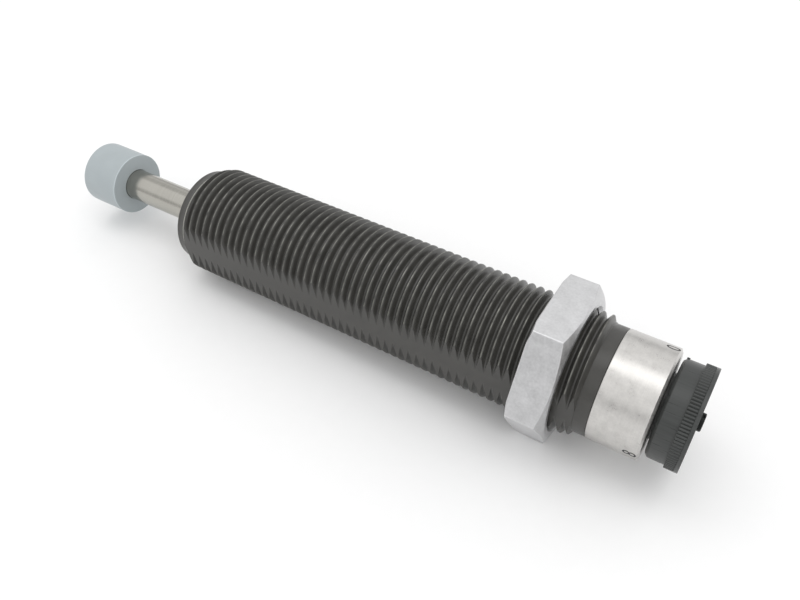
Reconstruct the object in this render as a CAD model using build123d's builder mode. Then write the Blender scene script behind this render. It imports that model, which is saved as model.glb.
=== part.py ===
"""An adjustable hydraulic shock absorber with an M20 x 1.5 barrel and a 19 mm stroke.

The X axis is the cylinder's axis. The origin is the centre of the barrel's front end face. The rod
stands out towards -X, the adjusting knob is at the +X end, and +Z is up. Sizes are in millimetres.
"""

import os
from math import cos, radians, sin, sqrt, tan

from build123d import *

# Clearances
running_gap = 0.03  # radial, between a moving piece and what guides it
thread_gap = 0.05  # radial, between a plain-drawn thread and its nut
seat_gap = 0.02  # radial, between pieces fitted one inside the other
stop_gap = 0.1  # along the axis, left open when a stop is reached
float_gap = 0.02  # along the axis, each side of a piece that floats in its groove

# Barrel
thread_diameter = 20.0
barrel_length = 80.3
barrel_bore = 15.0
pilot_length = 1.6  # plain, in front of the thread
pilot_step = 1.35  # from the thread's crests down to the pilot
pilot_chamfer = 0.2
neck_length = 2.1
neck_step = 1.05  # from the thread's crests down to the neck
flat_depth = 1.0  # of each spanner flat, below the thread's crests
edge_break = 0.3

# Front retaining ring
ring_depth = 1.2  # from the barrel's front face to the ring's groove
ring_thickness = 1.0
ring_bite = 0.5  # how deep the ring's groove is cut into the barrel's bore
ring_width = 1.7
ring_opening = 60.0  # degrees
lug_diameter = 2.0
lug_hole = 0.8
lug_inset = 1.9  # from the barrel's bore to a lug's centre
lug_angle = 42.0  # degrees each side of the ring's gap middle

# Stroke, rod and impact button
stroke = 19.0
rod_diameter = 6.0
rod_end_depth = 5.0
button_diameter = 12.0
button_length = 8.6
button_rounding = 0.5
snap_height = 0.25
snap_length = 0.8
snap_depth = 2.0  # from the button's rear face to its snap rib

# Rod bearing with its seals
bearing_length = 10.0
spigot_diameter = 9.2
spigot_length = 12.0
wiper_length = 2.6
wiper_diameter = 10.8
wiper_lip = 0.5
seal_length = 3.4
seal_diameter = 9.8
seal_groove = 1.0
oring_section = 1.1
oring_groove = 1.6
bearing_oring_place = 7.0  # from the bearing's front face

# Foam accumulator
foam_gap = 0.15

# Pressure tube
tube_gap = 1.0  # the oil's way back between the tube and the barrel
tube_wall = 1.5
tube_front_wall = 2.0
rod_passage = 6.8
orifice_diameter = 0.8
orifice_steps = 6  # equal steps of speed between impact and rest
orifice_turn = 60.0  # degrees round the tube from one orifice to the next
passage_diameter = 2.4
passage_count = 4

# Piston
piston_length = 6.0
piston_front_land = 1.8
piston_ring_length = 2.4
piston_ring_depth = 1.3
piston_ring_float = 0.4
piston_spigot = 3.0
bleed_diameter = 0.9
bleed_count = 6
nut_across_flats = 5.5
nut_thickness = 2.4
thread_end_length = 0.4  # of the rod's spigot past its nut

# Return spring
spring_wire = 0.9
spring_gap = 0.35  # between the coils and the tube's bore
spring_turns = 8

# Tube base with the valve's port
base_pilot = 2.3
base_thickness = 3.0
port_diameter = 2.4
port_seat_depth = 0.8
port_seat_angle = 30.0  # degrees from the axis

# Adjuster housing
housing_depth = 14.08  # how far the housing reaches into the barrel
chamber_length = 4.6
mouth_depth = 0.8
mouth_wall = 0.68
chamber_step = 1.8  # from the mouth in to the chamber
band_length = 7.85
band_step = 1.0  # from the thread's crests down to the band
housing_oring_place = 8.0  # from the housing's front face
recess_depth = 2.0  # of the recess for the clip and the knob's hub

# Adjuster stem, needle and clip
stem_diameter = 5.0
stem_flange_diameter = 8.4
stem_flange_length = 1.8
stem_oring_place = 5.0  # behind the stem's flange
stem_flat = 1.7  # from the axis to the flat that drives the knob
needle_thread = 2.5
needle_tail = 4.5
needle_tail_gap = 0.5
needle_key_width = 2.4
needle_key_reach = 5.6
needle_key_thickness = 0.9
needle_key_play = 0.05
needle_open_gap = 0.9  # between the key and the tube base at rest
needle_diameter = 2.0
needle_tip_diameter = 0.6
needle_tip_length = 1.2
clip_thickness = 0.6
clip_diameter = 7.4
clip_bite = 0.4
clip_opening = 90.0  # degrees

# Adjuster knob
knob_gap = 0.8
knob_length = 5.2
knob_step = 1.1  # from the band down to the knob's shoulder
rim_step = 0.4  # from the knob's shoulder up to its rim
rim_length = 2.1
knob_chamfer = 0.5
knurl_teeth = 72
knurl_depth = 0.3
knob_bore_depth = 3.6  # how far the stem's flat end reaches into the knob
hub_diameter = 10.6
hub_length = 1.6  # forward of the knob's front face
hub_gap = 0.3  # between the hub and the housing's recess
index_angle = 131.0  # degrees from -Y through +Z, at rest
index_width = 0.7
index_height = 0.25
index_length = 0.7

# Knob screw
screw_head_diameter = 2.9
screw_head_height = 0.9
screw_head_chamfer = 0.15
screw_shank = 1.6
screw_length = 5.0  # under its head
screw_slot_width = 0.5
screw_slot_depth = 0.45

# Lock nut
lock_nut_wall = 2.0  # from the thread's crests to the nut's flats
lock_nut_thickness = 6.0
lock_nut_front = 69.0
lock_nut_chamfer_angle = 20.0
lock_nut_front_land = 0.8  # how far the front face reaches beyond the flats, at the corners
lock_nut_rear_land = 0.6  # how far the rear face stays inside the flats
lock_nut_countersink = 0.5

# Places along the axis, from front to back
thread_end = barrel_length - neck_length
thread_start = pilot_length + pilot_step
ring_front = ring_depth
bearing_front = ring_front + ring_thickness + float_gap
bearing_shoulder = bearing_front + bearing_length
spigot_end = bearing_shoulder + spigot_length
tube_front = spigot_end
tube_inner_front = tube_front + tube_front_wall
housing_front = barrel_length - housing_depth
tube_end = housing_front - base_thickness
piston_front = tube_inner_front + stop_gap
piston_rear = piston_front + piston_length
base_front = tube_end - base_pilot
chamber_end = housing_front + chamber_length
band_end = barrel_length + band_length
button_rear = -stroke - stop_gap
button_front = button_rear - button_length
rod_front = button_rear - rod_end_depth
knob_front = band_end + knob_gap
knob_end = knob_front + knob_length
hub_front = knob_front - hub_length
stem_front = chamber_end - stem_flange_length
stem_end = knob_front + knob_bore_depth
screw_tip = knob_end - screw_length
lock_nut_rear = lock_nut_front + lock_nut_thickness

# Radii that more than one piece uses
thread_radius = thread_diameter / 2
band_radius = thread_radius - band_step
bore_radius = barrel_bore / 2
rod_radius = rod_diameter / 2
tube_outside = bore_radius - tube_gap
tube_radius = tube_outside - tube_wall
stem_radius = stem_diameter / 2
rod_guide = rod_radius + running_gap
collar_radius = bore_radius - seat_gap
oring_radius = oring_section / 2


def section(x):
    """The plane across the axis at x, where the sketch's x is Y and its y is Z."""
    return Plane.YZ.offset(x)


def turn(*outline, mode=Mode.ADD):
    """Turn a closed half outline of (x, radius) points about the axis."""
    with BuildSketch(Plane.XZ) as half:
        with BuildLine():
            Polyline(*outline, close=True)
        make_face()
    revolve(half.sketch, axis=Axis.X, mode=mode)


def ring(start, end, inside, outside, mode=Mode.ADD):
    """A plain ring or tube between two places on the axis, given by its radii."""
    turn((start, inside), (start, outside), (end, outside), (end, inside), mode=mode)


def disc(start, end, radius, mode=Mode.ADD):
    """A plain disc or pin between two places on the axis."""
    ring(start, end, 0, radius, mode=mode)


def open_ring(start, thickness, inside, outside, opening):
    """A flat spring ring with its gap at the top, the gap given in degrees."""
    half = radians(opening / 2)
    reach = 2 * outside
    with BuildSketch(section(start)) as flat:
        Circle(outside)
        Circle(inside, mode=Mode.SUBTRACT)
        with BuildLine():
            Polyline(
                (0, 0),
                (reach * sin(half), reach * cos(half)),
                (-reach * sin(half), reach * cos(half)),
                close=True,
            )
        make_face(mode=Mode.SUBTRACT)
    extrude(flat.sketch, amount=thickness)


def oring(middle, bore):
    """A round-section ring that just clears the bore around it."""
    with BuildSketch(Plane.XZ) as wire:
        with Locations((middle, bore - seat_gap - oring_radius)):
            Circle(oring_radius - seat_gap)
    revolve(wire.sketch, axis=Axis.X)


def oring_seat(middle, shaft):
    """Cut the groove that holds such a ring into a shaft of the given radius."""
    half = oring_groove / 2
    ring(middle - half, middle + half, shaft - oring_section, shaft + 1, mode=Mode.SUBTRACT)


def drill_around(start, end, count, circle, diameter):
    """Drill a ring of holes along the axis, on a circle of the given radius."""
    with BuildSketch(section(start)) as holes:
        with PolarLocations(circle, count):
            Circle(diameter / 2)
    extrude(holes.sketch, amount=end - start, mode=Mode.SUBTRACT)


os.makedirs("parts", exist_ok=True)


def finish(name, piece):
    """Label a finished piece and write it to its file."""
    piece.part.label = name
    export_step(piece.part, f"parts/{name}.step")


# Barrel: a steel tube, drawn at its thread's outer diameter, with two spanner flats
with BuildPart() as barrel:
    pilot = thread_radius - pilot_step
    neck = thread_radius - neck_step
    turn(
        (0, bore_radius),
        (0, pilot - pilot_chamfer),
        (pilot_chamfer, pilot),
        (pilot_length, pilot),
        (thread_start, thread_radius),
        (thread_end, thread_radius),
        (thread_end, neck),
        (barrel_length, neck),
        (barrel_length, bore_radius),
    )
    ring(ring_front, bearing_front, 0, bore_radius + ring_bite, mode=Mode.SUBTRACT)
    for side in (-1, 1):
        with BuildSketch(section(0)):
            with Locations((side * (thread_diameter - flat_depth), 0)):
                Rectangle(thread_diameter, thread_diameter)
        extrude(amount=thread_end, mode=Mode.SUBTRACT)
finish("barrel", barrel)

# Front retaining ring: an open spring ring with two lugs, sprung into the barrel's groove
with BuildPart() as front_retaining_ring:
    ring_outside = bore_radius + ring_bite - seat_gap
    ring_start = ring_front + float_gap / 2
    lug_circle = bore_radius - lug_inset
    lug_places = [
        (side * lug_circle * sin(radians(lug_angle)), lug_circle * cos(radians(lug_angle)))
        for side in (-1, 1)
    ]
    open_ring(ring_start, ring_thickness, ring_outside - ring_width, ring_outside, ring_opening)
    with BuildSketch(section(ring_start)):
        with Locations(*lug_places):
            Circle(lug_diameter / 2)
    extrude(amount=ring_thickness)
    with BuildSketch(section(ring_start)):
        with Locations(*lug_places):
            Circle(lug_hole / 2)
    extrude(amount=ring_thickness, mode=Mode.SUBTRACT)
finish("front_retaining_ring", front_retaining_ring)

# Rod bearing: a bronze gland with pockets for the wiper and the seal, and a spigot for the foam
with BuildPart() as rod_bearing:
    wiper_end = bearing_front + wiper_length
    seal_end = wiper_end + seal_length
    turn(
        (bearing_front, wiper_diameter / 2),
        (bearing_front, collar_radius),
        (bearing_shoulder, collar_radius),
        (bearing_shoulder, spigot_diameter / 2),
        (spigot_end, spigot_diameter / 2),
        (spigot_end, rod_guide),
        (seal_end, rod_guide),
        (seal_end, seal_diameter / 2),
        (wiper_end, seal_diameter / 2),
        (wiper_end, wiper_diameter / 2),
    )
    oring_seat(bearing_front + bearing_oring_place, collar_radius)
finish("rod_bearing", rod_bearing)

# Bearing O-ring: seals the bearing in the barrel
with BuildPart() as bearing_oring:
    oring(bearing_front + bearing_oring_place, bore_radius)
finish("bearing_oring", bearing_oring)

# Rod wiper: a lip that leans forwards over the rod and keeps dirt out
with BuildPart() as rod_wiper:
    wiper_outside = wiper_diameter / 2 - seat_gap
    turn(
        (bearing_front + wiper_lip, wiper_outside),
        (wiper_end - float_gap, wiper_outside),
        (wiper_end - float_gap, rod_guide + wiper_lip),
        (bearing_front + wiper_lip / 2, rod_guide),
        (bearing_front, rod_guide + wiper_lip / 2),
        (bearing_front + wiper_lip, rod_guide + 2 * wiper_lip),
    )
finish("rod_wiper", rod_wiper)

# Rod seal: a U-shaped ring that opens towards the oil
with BuildPart() as rod_seal:
    seal_outside = seal_diameter / 2 - seat_gap
    seal_middle = (seal_outside + rod_guide) / 2
    open_end = seal_end - float_gap
    turn(
        (wiper_end, rod_guide),
        (wiper_end, seal_outside),
        (open_end, seal_outside),
        (open_end, seal_middle + seal_groove / 2),
        (open_end - seal_groove, seal_middle),
        (open_end, seal_middle - seal_groove / 2),
        (open_end, rod_guide),
    )
finish("rod_seal", rod_seal)

# Foam accumulator: takes up the oil that the rod pushes aside
with BuildPart() as foam_accumulator:
    ring(
        bearing_shoulder + foam_gap,
        tube_front - foam_gap,
        spigot_diameter / 2 + foam_gap,
        bore_radius - foam_gap,
    )
finish("foam_accumulator", foam_accumulator)

# Pressure tube: the piston shuts its orifices one after another, spaced for an even deceleration
with BuildPart() as pressure_tube:
    turn(
        (tube_front, rod_passage / 2),
        (tube_front, collar_radius),
        (tube_inner_front, collar_radius),
        (tube_inner_front, tube_outside),
        (tube_end, tube_outside),
        (tube_end, tube_radius),
        (tube_inner_front, tube_radius),
        (tube_inner_front, rod_passage / 2),
    )
    drill_around(tube_front, tube_inner_front, passage_count, collar_radius, passage_diameter)
    for step in range(1, orifice_steps):
        travel = stroke * (1 - (1 - step / orifice_steps) ** 2)
        turned = orifice_turn * step
        with BuildSketch(Plane.XY.rotated((turned, 0, 0))) as orifice:
            with Locations((piston_rear + travel, 0)):
                Circle(orifice_diameter / 2)
        extrude(orifice.sketch, amount=bore_radius, mode=Mode.SUBTRACT)
finish("pressure_tube", pressure_tube)

# Tube base: closes the tube and holds the port that the needle meters
with BuildPart() as tube_base:
    port = port_diameter / 2
    turn(
        (base_front, port),
        (base_front, tube_radius - seat_gap),
        (tube_end, tube_radius - seat_gap),
        (tube_end, collar_radius),
        (housing_front, collar_radius),
        (housing_front, port + port_seat_depth * tan(radians(port_seat_angle))),
        (housing_front - port_seat_depth, port),
    )
    drill_around(tube_end, housing_front, passage_count, collar_radius, passage_diameter)
finish("tube_base", tube_base)

# Piston head: a groove lets its ring float, and the holes behind it let oil back on the return
with BuildPart() as piston_head:
    head = tube_radius - 2 * running_gap
    floor = tube_radius - piston_ring_depth
    groove_front = piston_front + piston_front_land
    groove_end = groove_front + piston_ring_length + piston_ring_float + 2 * float_gap
    turn(
        (piston_front, piston_spigot / 2 + seat_gap),
        (piston_front, head),
        (groove_front, head),
        (groove_front, floor),
        (groove_end, floor),
        (groove_end, head),
        (piston_rear, head),
        (piston_rear, piston_spigot / 2 + seat_gap),
    )
    drill_around(groove_end, piston_rear, bleed_count, floor, bleed_diameter)
finish("piston_head", piston_head)

# Piston ring: seats forwards on impact and floats back to open the return path
with BuildPart() as piston_ring:
    ring(
        groove_front + float_gap,
        groove_front + float_gap + piston_ring_length,
        floor + running_gap + bleed_diameter / 2,
        tube_radius - running_gap,
    )
finish("piston_ring", piston_ring)

# Piston rod: ground steel, with a snap groove for the button and a spigot for the piston
with BuildPart() as piston_rod:
    spigot_tip = piston_rear + nut_thickness + thread_end_length
    snap_front = button_rear - snap_depth - snap_length
    turn(
        (rod_front, 0),
        (rod_front, rod_radius - edge_break),
        (rod_front + edge_break, rod_radius),
        (snap_front, rod_radius),
        (snap_front, rod_radius - snap_height),
        (snap_front + snap_length, rod_radius - snap_height),
        (snap_front + snap_length, rod_radius),
        (piston_front, rod_radius),
        (piston_front, piston_spigot / 2),
        (spigot_tip - edge_break, piston_spigot / 2),
        (spigot_tip, piston_spigot / 2 - edge_break),
        (spigot_tip, 0),
    )
finish("piston_rod", piston_rod)

# Piston nut: holds the head on the rod's spigot
with BuildPart() as piston_nut:
    with BuildSketch(section(piston_rear)):
        RegularPolygon(nut_across_flats / 2, 6, major_radius=False)
        Circle(piston_spigot / 2 + seat_gap, mode=Mode.SUBTRACT)
    extrude(amount=nut_thickness)
finish("piston_nut", piston_nut)

# Impact button: snaps onto the rod's end
with BuildPart() as impact_button:
    hole = rod_radius + seat_gap
    rib = snap_length / 2 - float_gap
    rib_middle = snap_front + snap_length / 2
    disc(button_front, button_rear, button_diameter / 2)
    fillet(impact_button.edges().filter_by(GeomType.CIRCLE), button_rounding)
    disc(rod_front - float_gap, button_rear, hole, mode=Mode.SUBTRACT)
    turn(
        (rib_middle - rib, hole + seat_gap),
        (rib_middle - rib, hole),
        (rib_middle, rod_radius - snap_height + seat_gap),
        (rib_middle + rib, hole),
        (rib_middle + rib, hole + seat_gap),
    )
finish("impact_button", impact_button)

# Return spring: pushes the piston forwards again
with BuildPart() as return_spring:
    coil_radius = tube_radius - spring_gap - spring_wire / 2
    spring_start = piston_rear + spring_wire / 2
    spring_length = base_front - spring_wire / 2 - spring_start
    with BuildLine() as coil:
        Helix(
            pitch=spring_length / spring_turns,
            height=spring_length,
            radius=coil_radius,
            center=(spring_start, 0, 0),
            direction=(1, 0, 0),
        )
    with BuildSketch(Plane(coil.line @ 0, z_dir=coil.line % 0)):
        Circle(spring_wire / 2 - float_gap)
    sweep(path=coil.line, is_frenet=True)
finish("return_spring", return_spring)

# Adjuster housing: screwed into the barrel's rear end, its band carries the setting scale
with BuildPart() as adjuster_housing:
    stem_bore = stem_radius + running_gap
    mouth = collar_radius - mouth_wall
    chamber = mouth - chamber_step
    recess = hub_diameter / 2 + hub_gap
    recess_floor = band_end - recess_depth
    turn(
        (housing_front, mouth),
        (housing_front, collar_radius),
        (barrel_length, collar_radius),
        (barrel_length, band_radius - edge_break),
        (barrel_length + edge_break, band_radius),
        (band_end - edge_break, band_radius),
        (band_end, band_radius - edge_break),
        (band_end, recess),
        (recess_floor, recess),
        (recess_floor, stem_bore),
        (chamber_end, stem_bore),
        (chamber_end, chamber),
        (housing_front + mouth_depth, chamber),
        (housing_front + mouth_depth, mouth),
    )
    oring_seat(housing_front + housing_oring_place, collar_radius)
    with BuildSketch(section(housing_front)):
        Rectangle(2 * needle_key_reach, needle_key_width + 2 * needle_key_play)
    extrude(amount=chamber_length, mode=Mode.SUBTRACT)
finish("adjuster_housing", adjuster_housing)

# Housing O-ring: seals the housing in the barrel
with BuildPart() as housing_oring:
    oring(housing_front + housing_oring_place, bore_radius)
finish("housing_oring", housing_oring)

# Metering needle: its key slides in the housing, so the turning stem moves it along the axis
with BuildPart() as metering_needle:
    key_front = housing_front + needle_open_gap
    key_rear = key_front + needle_key_thickness
    tip = housing_front - port_seat_depth
    turn(
        (tip, 0),
        (tip, needle_tip_diameter / 2),
        (tip + needle_tip_length, needle_diameter / 2),
        (key_rear, needle_diameter / 2),
        (key_rear, needle_thread / 2),
        (key_rear + needle_tail, needle_thread / 2),
        (key_rear + needle_tail, 0),
    )
    with BuildSketch(section(key_front)):
        Rectangle(2 * (needle_key_reach - needle_key_play), needle_key_width)
    extrude(amount=needle_key_thickness)
finish("metering_needle", metering_needle)

# Adjuster stem: a flanged spindle, threaded inside for the needle and flatted for the knob
with BuildPart() as adjuster_stem:
    flange_rear = chamber_end - running_gap
    clip_groove = recess_floor + float_gap
    turn(
        (stem_front, 0),
        (stem_front, stem_flange_diameter / 2),
        (flange_rear, stem_flange_diameter / 2),
        (flange_rear, stem_radius),
        (stem_end, stem_radius),
        (stem_end, 0),
    )
    disc(
        stem_front,
        key_rear + needle_tail + needle_tail_gap,
        needle_thread / 2 + running_gap,
        mode=Mode.SUBTRACT,
    )
    oring_seat(chamber_end + stem_oring_place, stem_radius)
    ring(
        clip_groove,
        clip_groove + clip_thickness + 2 * float_gap,
        stem_radius - clip_bite,
        stem_diameter,
        mode=Mode.SUBTRACT,
    )
    with BuildSketch(section(knob_front)):
        with Locations((stem_flat + stem_diameter, 0)):
            Rectangle(2 * stem_diameter, 2 * stem_diameter)
    extrude(amount=knob_bore_depth, mode=Mode.SUBTRACT)
    disc(screw_tip - float_gap, stem_end, screw_shank / 2 + seat_gap, mode=Mode.SUBTRACT)
finish("adjuster_stem", adjuster_stem)

# Stem O-ring: seals the stem in the housing and turns with it
with BuildPart() as stem_oring:
    oring(chamber_end + stem_oring_place, stem_bore)
finish("stem_oring", stem_oring)

# Stem clip: stops the stem from moving forwards
with BuildPart() as stem_clip:
    open_ring(
        clip_groove + float_gap,
        clip_thickness,
        stem_radius - clip_bite + seat_gap,
        clip_diameter / 2,
        clip_opening,
    )
finish("stem_clip", stem_clip)

# Adjuster knob: a moulded knob with a hub, a knurled rim, an index nib and a flatted bore
with BuildPart() as adjuster_knob:
    hub = hub_diameter / 2
    shoulder = band_radius - knob_step
    rim = shoulder + rim_step
    rim_front = knob_end - rim_length
    turn(
        (hub_front, stem_radius + seat_gap),
        (hub_front, hub),
        (knob_front, hub),
        (knob_front, shoulder - knob_chamfer),
        (knob_front + knob_chamfer, shoulder),
        (rim_front, shoulder),
        (rim_front, rim),
        (knob_end, rim),
        (knob_end, 0),
        (knob_front, 0),
        (knob_front, stem_radius + seat_gap),
    )
    with BuildSketch(section(rim_front)):
        with PolarLocations(rim, knurl_teeth):
            Rectangle(knurl_depth * sqrt(2), knurl_depth * sqrt(2), rotation=45)
    extrude(amount=rim_length, mode=Mode.SUBTRACT)
    with BuildSketch(section(knob_front)):
        Circle(stem_radius + seat_gap)
        with Locations((stem_flat + seat_gap - stem_diameter, 0)):
            Rectangle(2 * stem_diameter, 2 * stem_diameter, mode=Mode.INTERSECT)
    extrude(amount=knob_bore_depth + float_gap, mode=Mode.SUBTRACT)
    disc(stem_end, knob_end, screw_shank / 2 + seat_gap, mode=Mode.SUBTRACT)
    with BuildSketch(section(knob_front + knob_chamfer)):
        with PolarLocations(shoulder, 1, start_angle=180 - index_angle):
            Rectangle(2 * index_height, index_width)
    extrude(amount=index_length)
finish("adjuster_knob", adjuster_knob)

# Knob screw: holds the knob on the stem
with BuildPart() as knob_screw:
    head = screw_head_diameter / 2
    head_end = knob_end + screw_head_height
    turn(
        (screw_tip, 0),
        (screw_tip, screw_shank / 2),
        (knob_end, screw_shank / 2),
        (knob_end, head),
        (head_end - screw_head_chamfer, head),
        (head_end, head - screw_head_chamfer),
        (head_end, 0),
    )
    with BuildSketch(section(head_end)):
        Rectangle(screw_slot_width, screw_head_diameter)
    extrude(amount=-screw_slot_depth, mode=Mode.SUBTRACT)
finish("knob_screw", knob_screw)

# Lock nut: a hexagon with a flat down, chamfered lightly in front and more behind
with BuildPart() as lock_nut:
    flat = thread_radius + lock_nut_wall
    corner = flat / cos(radians(30)) + seat_gap
    front_circle = flat + lock_nut_front_land
    rear_circle = flat - lock_nut_rear_land
    slope = tan(radians(lock_nut_chamfer_angle))
    nut_bore = thread_radius + thread_gap
    with BuildSketch(section(lock_nut_front)):
        RegularPolygon(flat, 6, major_radius=False)
    extrude(amount=lock_nut_thickness)
    turn(
        (lock_nut_front, nut_bore + lock_nut_countersink),
        (lock_nut_front + lock_nut_countersink, nut_bore),
        (lock_nut_rear - lock_nut_countersink, nut_bore),
        (lock_nut_rear, nut_bore + lock_nut_countersink),
        (lock_nut_rear, rear_circle),
        (lock_nut_rear - (corner - rear_circle) * slope, corner),
        (lock_nut_front + (corner - front_circle) * slope, corner),
        (lock_nut_front, front_circle),
        mode=Mode.INTERSECT,
    )
finish("lock_nut", lock_nut)
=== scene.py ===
"""The looks of an adjustable shock absorber with a threaded barrel.

The file is laid out as an add-on: one operator for each piece or group of like pieces, and one for the
stage. Outlines are in millimetres along the cylinder's axis, and meshes in metres in the part's frame.
Angles round the axis run from -Y through +Z.
"""

from math import atan, ceil, cos, pi, radians, sin, tan

import bmesh
import bpy
import numpy as np
from bpy.props import FloatProperty, FloatVectorProperty, IntProperty, PointerProperty, StringProperty
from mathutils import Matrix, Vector


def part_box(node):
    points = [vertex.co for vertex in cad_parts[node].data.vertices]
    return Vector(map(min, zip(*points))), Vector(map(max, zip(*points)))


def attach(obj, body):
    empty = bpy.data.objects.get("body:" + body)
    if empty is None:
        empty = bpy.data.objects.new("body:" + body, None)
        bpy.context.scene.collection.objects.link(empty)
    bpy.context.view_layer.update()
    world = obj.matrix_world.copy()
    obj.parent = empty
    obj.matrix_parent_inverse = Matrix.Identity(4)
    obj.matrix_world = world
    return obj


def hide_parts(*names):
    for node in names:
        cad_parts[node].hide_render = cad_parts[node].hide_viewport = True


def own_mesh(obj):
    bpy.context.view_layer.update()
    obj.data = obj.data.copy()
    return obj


bl_info = {
    "name": "Shock absorber finish",
    "version": (1, 0, 0),
    "blender": (4, 5, 0),
    "location": "3D View > Sidebar > Shock absorber",
    "description": "Builds the finished surfaces of a threaded shock absorber round its frame",
    "category": "Object",
}

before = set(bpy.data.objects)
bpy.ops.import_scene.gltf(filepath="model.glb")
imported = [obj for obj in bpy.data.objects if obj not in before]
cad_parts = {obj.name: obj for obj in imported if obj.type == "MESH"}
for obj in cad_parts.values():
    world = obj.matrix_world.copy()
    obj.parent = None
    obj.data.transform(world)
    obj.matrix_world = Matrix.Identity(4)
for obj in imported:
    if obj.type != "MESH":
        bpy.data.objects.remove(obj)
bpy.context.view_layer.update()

MM = 0.001
MATH = "ShaderNodeMath"
VECTOR_MATH = "ShaderNodeVectorMath"
RANGE = "ShaderNodeMapRange"
MIX = "ShaderNodeMix"
SPLIT = "ShaderNodeSeparateXYZ"
COMBINE = "ShaderNodeCombineXYZ"
POSITION = "GeometryNodeInputPosition"
SET_POSITION = "GeometryNodeSetPosition"

# Segments round the axis, and steps along a rounded corner
ROUND = 160
CORNER_STEPS = 4

# Vertices nearer than the first are one, and edges shorter than the second are none, in metres
MERGE, NO_LENGTH = 1e-7, 1e-8

# A noise pattern keeps mostly between these values
NOISE_LOW, NOISE_HIGH = 0.3, 0.7

# Height of a digit as a share of its text size
CAPITAL = 0.72


def extent(node):
    """Where a node starts and ends along the axis, and how high it reaches, in millimetres."""
    low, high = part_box(node)
    return low.x / MM, high.x / MM, high.z / MM


BARREL_START, BARREL_END, THREAD_RADIUS = extent("barrel")
FLAT_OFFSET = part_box("barrel")[1].y / MM
NUT_FRONT, NUT_REAR, NUT_HALF = extent("lock_nut")
BUTTON_FRONT, BUTTON_REAR, BUTTON_RADIUS = extent("impact_button")
ROD_FRONT, ROD_TIP, ROD_RADIUS = extent("piston_rod")
HEAD_FRONT, HEAD_REAR, _ = extent("piston_head")
HOUSING_FRONT, BAND_END, BAND_RADIUS = extent("adjuster_housing")
HUB_FRONT, KNOB_END, RIM_RADIUS = extent("adjuster_knob")
SCREW_TIP, SCREW_END, SCREW_RADIUS = extent("knob_screw")


def linear(code):
    """Turn an sRGB hex colour into linear red, green and blue."""
    parts = [int(code[i : i + 2], 16) / 255 for i in (1, 3, 5)]
    return [p / 12.92 if p <= 0.04045 else ((p + 0.055) / 1.055) ** 2.4 for p in parts]


def tone(colour, share):
    """A colour made darker or lighter, with its alpha."""
    return [*(c * share for c in colour), 1]


def length(title, note, size):
    """A length that can be changed, with its default in millimetres."""
    return FloatProperty(name=title, description=note, default=size * MM, unit="LENGTH", precision=6)


def shade(title, note, code):
    """A colour that can be changed, with its default as a hex code."""
    return FloatVectorProperty(
        name=title, description=note, default=linear(code), subtype="COLOR", size=3, min=0, max=1
    )


def add(tree, kind, inputs=(), operation=None, **settings):
    """Add a node with its settings. Inputs come in order or by name. Each takes a value, a socket, or a node
    for its first output."""
    node = tree.nodes.new(kind)
    if operation:
        node.operation = operation
    for name, value in settings.items():
        setattr(node, name, value)
    for socket, value in inputs.items() if isinstance(inputs, dict) else enumerate(inputs):
        if isinstance(value, bpy.types.Node):
            value = value.outputs[0]
        if isinstance(value, bpy.types.NodeSocket):
            tree.links.new(value, node.inputs[socket])
        else:
            node.inputs[socket].default_value = value
    return node


# Sizes and colours that a user would change


class ThreadSizes(bpy.types.PropertyGroup):
    """The barrel's rolled thread, the plain pilot in front of it and the neck behind it"""

    pitch: length("Pitch", "Distance along the axis from one crest to the next", 1.5)
    root: length("Root radius", "Radius at the bottom of the thread", 9.08)
    rounding: length("Rounding", "How softly crest and root are rounded", 0.05)
    run_out: length("Run-out rounding", "How softly the first and last crests fall away", 0.2)
    pilot_length: length("Pilot length", "From the front face to the thread", 1.6)
    pilot: length("Pilot radius", "Radius of the plain part in front of the thread", 8.65)
    neck_length: length("Neck length", "From the thread to the barrel's rear face", 2.1)
    neck: length("Neck radius", "Radius of the plain part behind the thread", 8.95)
    bore: length("Bore radius", "Radius inside the barrel", 7.5)
    first_crest: length("First crest", "Where a crest passes -Y", 1.303)
    steps: IntProperty(name="Steps", description="Mesh steps along one pitch", default=14, min=4)
    segments: IntProperty(name="Segments", description="Mesh steps round the barrel", default=112, min=24)


class KnobSizes(bpy.types.PropertyGroup):
    """The adjusting knob with its knurled rim and its index nib"""

    front: length("Front face", "Place of the knob's front face along the axis", 88.95)
    hub: length("Hub radius", "Radius of the hub in front of the knob", 5.3)
    shoulder: length("Shoulder radius", "Radius of the knob in front of its rim", 7.9)
    rim_length: length("Rim length", "Length of the knurled rim", 2.1)
    tooth_length: length("Tooth length", "Length of the knurl, from the rim's front edge", 1.5)
    tooth_depth: length("Tooth depth", "Depth of the knurl", 0.2)
    tooth_top: length("Tooth top", "Width of a tooth at its top", 0.16)
    teeth: IntProperty(name="Teeth", description="Teeth round the rim", default=98, min=8)
    nib_angle: FloatProperty(
        name="Nib angle", description="Angle of the index nib at rest", default=radians(131), subtype="ANGLE"
    )


class ScaleSizes(bpy.types.PropertyGroup):
    """The setting scale on the band"""

    digits: StringProperty(name="Digits", description="The marks of the scale, in order", default="012345678")
    height: length("Height", "Height of a digit", 2.15)
    setback: length("Setback", "From the band's rear edge to the digits' middle", 1.05)
    first: FloatProperty(
        name="First angle", description="Angle of the first digit", default=radians(117.5), subtype="ANGLE"
    )
    step: FloatProperty(
        name="Step", description="Angle from one digit to the next", default=radians(28.125), subtype="ANGLE"
    )


class SpringSizes(bpy.types.PropertyGroup):
    """The return spring"""

    wire: length("Wire radius", "Radius of the spring's wire", 0.43)
    turns: FloatProperty(name="Turns", description="Turns of the coil", default=8, min=1)


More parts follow.
